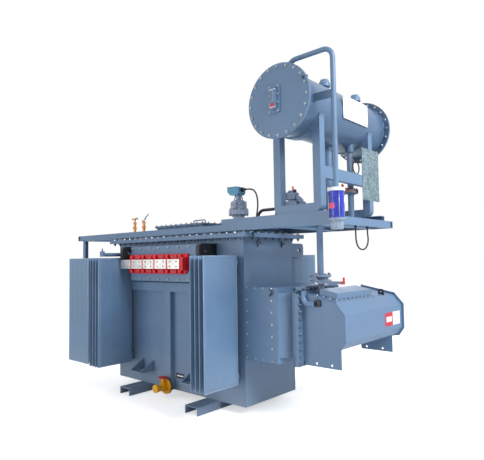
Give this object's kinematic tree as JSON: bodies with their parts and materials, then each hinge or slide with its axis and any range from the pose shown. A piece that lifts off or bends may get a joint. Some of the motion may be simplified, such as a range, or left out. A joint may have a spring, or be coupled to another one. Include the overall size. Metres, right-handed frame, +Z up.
{
  "type": "power transformer",
  "caption": "Oil-filled power transformer with finned radiators, a raised oil conservator on a frame, and a side cable box, standing on base channels.",
  "frame": {"origin": "on the ground, in the middle of the overall length and width", "axes": "+X along the tank to the cable box, -Y the low-voltage side, +Z up"},
  "size_m": [4.0374, 1.784, 3.121],
  "materials": {
    "blue_grey_paint": "satin blue-grey enamel",
    "black_paint": "black enamel",
    "tinned_copper": "tinned, dull bright",
    "red_insulation": "moulded red insulation, half gloss",
    "yellow_paint": "yellow enamel",
    "red_paint": "red enamel",
    "blue_gel": "blue drying gel behind clear plastic",
    "clear_plastic": "clear plastic",
    "galvanised_steel": "galvanised, matt",
    "cast_grey": "painted casting",
    "white_plate": "white sheet",
    "cyan_cover": "cyan moulded cover",
    "brass": "bare brass",
    "black_sheath": "black cable sheath"
  },
  "bodies": {
    "root": {"tank_body": "blue_grey_paint", "tank_lid": "blue_grey_paint", "base_channels": "blue_grey_paint", "jacking_brackets": "blue_grey_paint", "radiator_front_left": "blue_grey_paint", "radiator_front_right": "blue_grey_paint", "radiator_rear_left": "blue_grey_paint", "radiator_rear_right": "blue_grey_paint", "radiator_side_front": "blue_grey_paint", "radiator_side_rear": "blue_grey_paint", "lv_mounting_plate": "blue_grey_paint", "hv_throat": "blue_grey_paint", "inspection_cover": "blue_grey_paint", "cable_box": "blue_grey_paint", "cable_box_end_plate": "blue_grey_paint", "cable_box_legs": "blue_grey_paint", "cable_box_hatch": "blue_grey_paint", "frame_front_beam": "blue_grey_paint", "frame_rear_beam": "blue_grey_paint", "frame_cross_members": "blue_grey_paint", "frame_left_legs": "blue_grey_paint", "upper_beam_front": "blue_grey_paint", "upper_beam_rear": "blue_grey_paint", "conservator_shell": "blue_grey_paint", "filler_caps": "blue_grey_paint", "conservator_front_cover": "blue_grey_paint", "conservator_rear_cover": "blue_grey_paint", "support_frame_front": "blue_grey_paint", "support_frame_rear": "blue_grey_paint", "tie_beam": "blue_grey_paint", "breather_pipe": "blue_grey_paint", "relay_pipe": "blue_grey_paint", "conservator_pipe": "blue_grey_paint", "feed_pipe": "blue_grey_paint", "lid_hatch": "blue_grey_paint", "vent_pipes": "blue_grey_paint", "lifting_lugs": "black_paint", "cable_box_lifting_eyes": "black_paint", "lv_terminals": "tinned_copper", "lv_insulating_board": "red_insulation", "drain_valve_body": "yellow_paint", "breather_gel": "blue_gel", "breather_cup": "clear_plastic", "back_plate": "galvanised_steel", "gas_relay": "cast_grey", "riser_valve": "cast_grey", "conservator_valve": "cast_grey", "relief_device": "cast_grey", "oil_level_gauge": "cast_grey", "sign_plate": "white_plate", "breather_cap": "white_plate", "relief_device_head": "cyan_cover", "thermometer_pockets": "brass", "relief_cable": "black_sheath", "gauge_cable": "black_sheath", "cable_glands": "black_sheath", "relay_conduit": "black_sheath"},
    "drain_handwheel": {"drain_handwheel": "red_paint"},
    "isolating_lever": {"isolating_lever": "red_paint"}
  },
  "joints": [
    {"name": "drain_handwheel_turn", "type": "hinge", "parent": "root", "child": "drain_handwheel", "pos_m": [-0.18275, -0.517, 0.219], "axis": [0, 0, 1], "continuous": true},
    {"name": "isolating_lever_turn", "type": "hinge", "parent": "root", "child": "isolating_lever", "pos_m": [1.50925, -0.193, 1.265], "axis": [0, -1, 0], "range_deg": [0, 90]}
  ]
}
